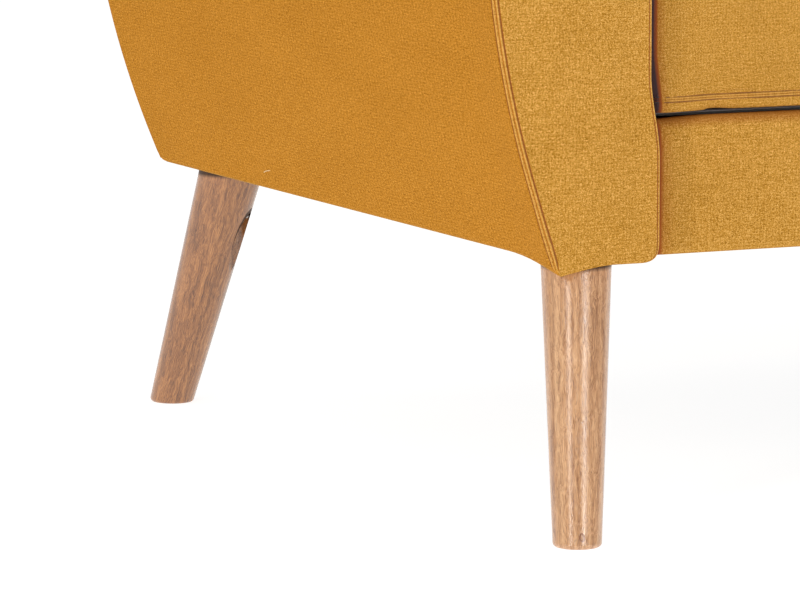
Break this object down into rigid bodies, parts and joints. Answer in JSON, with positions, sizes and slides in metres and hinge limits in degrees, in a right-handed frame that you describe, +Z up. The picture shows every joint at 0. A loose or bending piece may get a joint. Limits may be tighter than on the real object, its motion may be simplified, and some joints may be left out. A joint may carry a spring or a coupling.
{
  "type": "sofa",
  "caption": "Upholstered sofa with hollow arms that narrow towards the floor, a raked back, loose cushions and splayed, tapered wooden legs.",
  "frame": {"origin": "on the floor, under the middle of the sofa's bounding box", "axes": "+X to the right as seen from in front, +Y from the front to the back, +Z up"},
  "size_m": [1.5, 0.839, 0.8],
  "materials": {
    "upholstery_fabric": "heathered mustard linen weave, matte",
    "leg_wood": "clear satin lacquer on beech",
    "zinc_steel": "zinc plated",
    "spring_steel": "oil-tempered wire, semi-matte",
    "foam": "open-cell foam, matte",
    "webbing": "woven elastic, matte",
    "felt": "needled felt, matte",
    "deck_cloth": "plain dark lining cloth, matte",
    "dust_cloth": "black non-woven cloth, matte",
    "hardboard": "hardboard, raw",
    "plywood": "plywood, raw",
    "frame_timber": "sawn softwood, raw"
  },
  "bodies": {
    "frame": {"arm_base_rail_left": "frame_timber", "arm_base_rail_right": "frame_timber", "arm_bolts": "zinc_steel", "arm_foam_left": "foam", "arm_foam_right": "foam", "arm_front_board_left": "plywood", "arm_front_board_right": "plywood", "arm_front_cover_left": "upholstery_fabric", "arm_front_cover_right": "upholstery_fabric", "arm_front_foam_left": "foam", "arm_front_foam_right": "foam", "arm_inner_cover_left": "upholstery_fabric", "arm_inner_cover_right": "upholstery_fabric", "arm_liner_left": "hardboard", "arm_liner_right": "hardboard", "arm_rear_board_left": "plywood", "arm_rear_board_right": "plywood", "arm_rear_cover_left": "upholstery_fabric", "arm_rear_cover_right": "upholstery_fabric", "arm_side_cover_left": "upholstery_fabric", "arm_side_cover_right": "upholstery_fabric", "arm_top_board_left": "plywood", "arm_top_board_right": "plywood", "back_bolts": "zinc_steel", "back_foam": "foam", "back_front_cover": "upholstery_fabric", "back_lumbar_rails": "frame_timber", "back_posts": "frame_timber", "back_rear_cover": "upholstery_fabric", "back_top_rail": "frame_timber", "back_webbing": "webbing", "centre_rail": "frame_timber", "corner_braces": "frame_timber", "deck_cloth": "deck_cloth", "deck_felt": "felt", "dust_cloth": "dust_cloth", "front_rail": "frame_timber", "front_rail_cover": "upholstery_fabric", "front_rail_foam": "foam", "leg_bolts": "zinc_steel", "leg_dowels": "leg_wood", "leg_front_left": "leg_wood", "leg_front_right": "leg_wood", "leg_rear_left": "leg_wood", "leg_rear_right": "leg_wood", "leg_tee_nuts": "zinc_steel", "leg_washers": "zinc_steel", "rear_rail": "frame_timber", "seat_springs": "spring_steel", "side_rail_left": "frame_timber", "side_rail_right": "frame_timber", "spring_clips": "spring_steel"},
    "seat_cushion_left": {"seat_cushion_cover_left": "upholstery_fabric", "seat_cushion_foam_left": "foam"},
    "seat_cushion_right": {"seat_cushion_cover_right": "upholstery_fabric", "seat_cushion_foam_right": "foam"},
    "back_cushion_left": {"back_cushion_cover_left": "upholstery_fabric", "back_cushion_foam_left": "foam"},
    "back_cushion_right": {"back_cushion_cover_right": "upholstery_fabric", "back_cushion_foam_right": "foam"}
  },
  "joints": [
    {"name": "seat_cushion_left_lift", "type": "slide", "parent": "frame", "child": "seat_cushion_left", "axis": [0, 0, 1], "range_m": [0, 0.33]},
    {"name": "seat_cushion_right_lift", "type": "slide", "parent": "frame", "child": "seat_cushion_right", "axis": [0, 0, 1], "range_m": [0, 0.33]},
    {"name": "back_cushion_left_lift", "type": "slide", "parent": "frame", "child": "back_cushion_left", "axis": [0, 0.2079, 0.9781], "range_m": [0, 0.56]},
    {"name": "back_cushion_right_lift", "type": "slide", "parent": "frame", "child": "back_cushion_right", "axis": [0, 0.2079, 0.9781], "range_m": [0, 0.56]}
  ]
}
